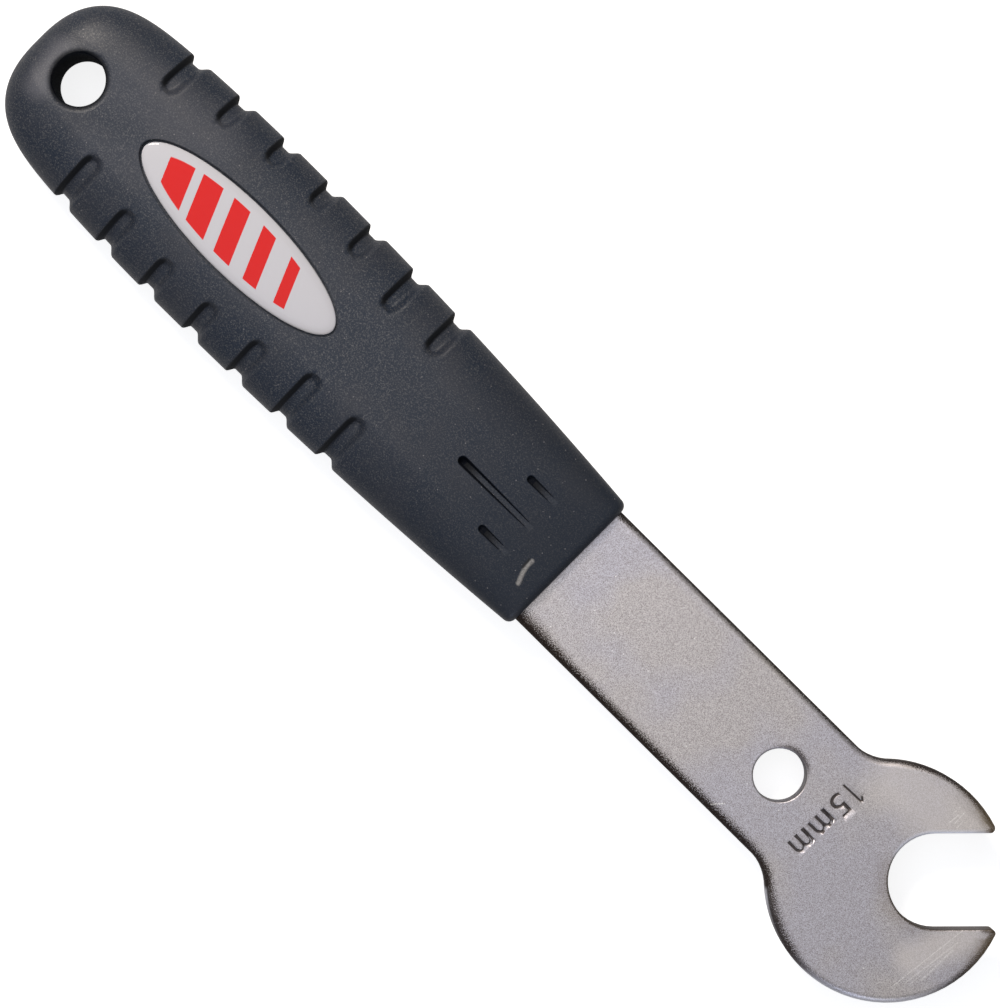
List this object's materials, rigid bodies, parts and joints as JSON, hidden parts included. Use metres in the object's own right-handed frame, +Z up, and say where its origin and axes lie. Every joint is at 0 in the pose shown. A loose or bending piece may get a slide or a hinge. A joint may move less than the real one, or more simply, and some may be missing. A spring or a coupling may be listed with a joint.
{
  "type": "pedal wrench",
  "caption": "Flat steel pedal wrench with an open 15 mm jaw at 45 degrees, a hole in the shank and a moulded grip with finger notches, a hanging hole and an oval badge.",
  "frame": {"origin": "centre of the bounding box in plan, on the surface that the tool lies on", "axes": "+X from the grip to the jaw along the blade, +Y to the side on which the mouth opens, +Z up through the face with the badge"},
  "size_m": [0.2102, 0.0388, 0.0141],
  "materials": {
    "steel": "fine satin, rolled edges",
    "grip_plastic": "matte, fine grain",
    "badge_face": "clear domed gloss over print"
  },
  "bodies": {
    "root": {"wrench_blade": "steel", "grip": "grip_plastic", "badge": "badge_face"}
  },
  "joints": []
}
